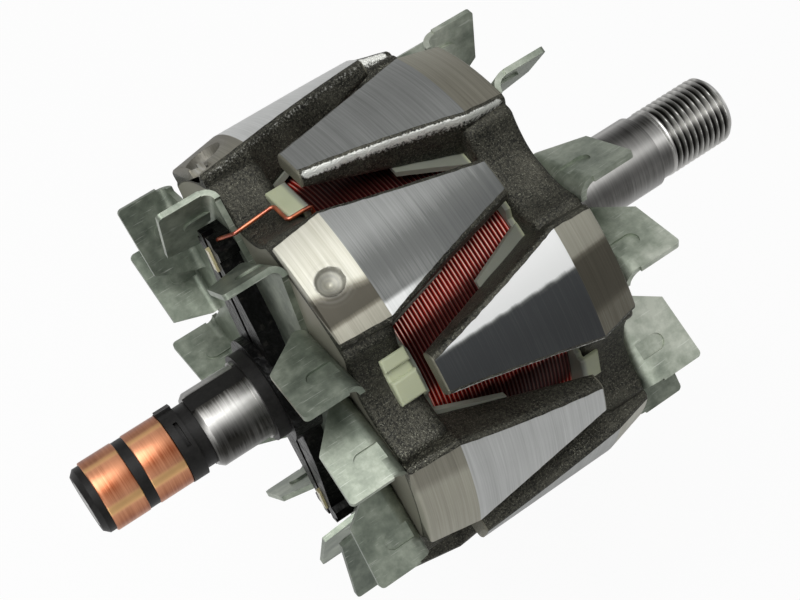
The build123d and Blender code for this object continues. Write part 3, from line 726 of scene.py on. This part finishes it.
# Fans: two zinc-plated steel pressings with bent blades, spot-welded to the outer faces of the poles.
# The passivated film is greenish grey and uneven, with fine scratches; the pulley-side one is paler.
zinc = Finish("zinc_sheet", Metallic=0.7)
film = zinc.noise(38.0, 4.0, 0.6)
film_fine = zinc.noise(260.0, 4.0, 0.65)
scratch = zinc.noise(4200.0, 2.0, 0.5, zinc.stretched(0.05, 1.0, 0.08))
zinc_tone = film * 0.6 + film_fine * 0.4 + zinc.axis("X").rise(-5, 5) * 0.085 - 0.012
zinc_color = zinc.node("ShaderNodeValToRGB", {"stops": (
    (0.34, (0.10, 0.120, 0.095, 1)), (0.46, (0.20, 0.230, 0.185, 1)), (0.56, (0.33, 0.365, 0.300, 1)),
    (0.68, (0.55, 0.58, 0.50, 1)),
)}, {0: zinc_tone}, "Color")
zinc.set(
    Base_Color=zinc.blend(scratch.rise(0.62, 0.80) * 0.5, zinc_color, (0.78, 0.80, 0.74, 1)),
    Roughness=0.32 + film_fine * 0.20,
)
zinc.bump(film_fine * 0.5 + scratch * 0.3, 0.00007, 0.7)
coat(["slip_side_fan", "pulley_side_fan"], zinc)

# Former: one pale nylon moulding between the poles, with flanges, petals under the claws and blocks in
# the hollows that keep it from turning. It is faintly green, with painted shade making it greyer between the
# webs.


def merged_copy(node, name, finish):
    """The CAD node's own shape as one closed mesh, its doubled points merged, ready for a bevel."""
    joined = bmesh.new()
    joined.from_mesh(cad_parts[node].data)
    bmesh.ops.remove_doubles(joined, verts=joined.verts, dist=2e-6)
    bmesh.ops.dissolve_limit(joined, angle_limit=math.radians(2), verts=joined.verts, edges=joined.edges)
    mesh = bpy.data.meshes.new(name)
    joined.to_mesh(mesh)
    joined.free()
    mesh.materials.append(finish.material)
    mesh.polygons.foreach_set("use_smooth", np.ones(len(mesh.polygons), bool))
    mesh.set_sharp_from_angle(angle=math.radians(35))
    made = bpy.data.objects.new(name, mesh)
    bpy.context.scene.collection.objects.link(made)
    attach(made, "root")
    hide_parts(node)
    return made


nylon = Finish("cream_nylon", Roughness=0.42, Subsurface_Weight=0.15, Subsurface_Radius=(0.002, 0.002, 0.001))
nylon_cloud = nylon.noise(120.0, 3.0, 0.5)
from_middle = (nylon.axis("X") - 0.5 * (slip_web + pulley_web)).math("ABSOLUTE")
nylon_unshaded = nylon.blend(nylon_cloud, (0.44, 0.48, 0.31, 1), (0.60, 0.63, 0.45, 1))
nylon_painted_shade = nylon.blend(nylon_cloud, (0.20, 0.215, 0.175, 1), (0.30, 0.31, 0.26, 1))
# Painted shade: the nylon is greyer near the middle, between the webs.
nylon.set(Base_Color=nylon.blend(from_middle.rise(15.4, 16.4), nylon_painted_shade, nylon_unshaded))
nylon.bump(nylon.noise(700.0, 3.0, 0.6), 0.00005, 0.5)
former = merged_copy("bobbin", "nylon_former", nylon)
softened = former.modifiers.new("moulded_edges", "BEVEL")
softened.width, softened.segments = 0.0004, 3
softened.limit_method, softened.angle_limit = "ANGLE", math.radians(40)
softened.use_clamp_overlap = True

# Coil leads: the two ends of the winding's wire, each bent round a block of the former and led over the
# pole's face to an arm of the guide. Their clear enamel shows the copper.
lead = Finish("copper_lead", Metallic=0.8, Coat_Weight=1.0, Coat_Roughness=0.08)
lead_tone = lead.noise(200.0, 2.0, 0.5)
lead.set(
    Base_Color=lead.blend(lead_tone.rise(0.3, 0.7), (0.26, 0.040, 0.014, 1), (0.66, 0.19, 0.07, 1)),
    Roughness=0.22 + lead_tone * 0.12,
)
coat(["coil_lead_start", "coil_lead_finish"], lead)

# Ring conductors: flat drawn copper bars that run from each ring under the bearing seat to the guide.
# They are moulded in, so hardly anything of them shows.
bar = Finish("conductor_copper", Metallic=1.0)
bar_tone = bar.noise(600.0, 3.0, 0.6)
bar_color = bar.blend(bar_tone, (0.40, 0.15, 0.08, 1), (0.80, 0.42, 0.28, 1))
bar.set(Base_Color=bar_color, Roughness=0.3 + bar_tone * 0.2)
coat(["ring_conductor_outer", "ring_conductor_inner"], bar)

# Pole core: plain machined steel tube on the shaft between the poles, inside the former.
# It carries the magnetic flux and is hidden once the rotor is put together.
core = Finish("plain_steel", Metallic=1.0)
core_tone = core.noise(700.0, 3.0, 0.6, core.stretched(1.0, 0.05, 0.05))
core_color = core.blend(core_tone, (0.16, 0.155, 0.145, 1), (0.5, 0.49, 0.47, 1))
core.set(Base_Color=core_color, Roughness=0.35 + core_tone * 0.2)
coat(["pole_core"], core)

# Lead resin: a pale yellow drop at the tip of each arm of the guide.
# It is poured last, sets each coil lead in its channel, and stays glossy.
resin = Finish("pale_resin", Coat_Weight=0.6, Coat_Roughness=0.1)
resin_tone = resin.noise(500.0, 3.0, 0.6)
resin_color = resin.blend(resin_tone, (0.42, 0.36, 0.16, 1), (0.70, 0.64, 0.40, 1))
resin.set(Base_Color=resin_color, Roughness=0.25 + resin_tone * 0.2)
coat(["lead_resin_upper", "lead_resin_lower"], resin)

bpy.context.scene.view_settings.view_transform = "Standard"
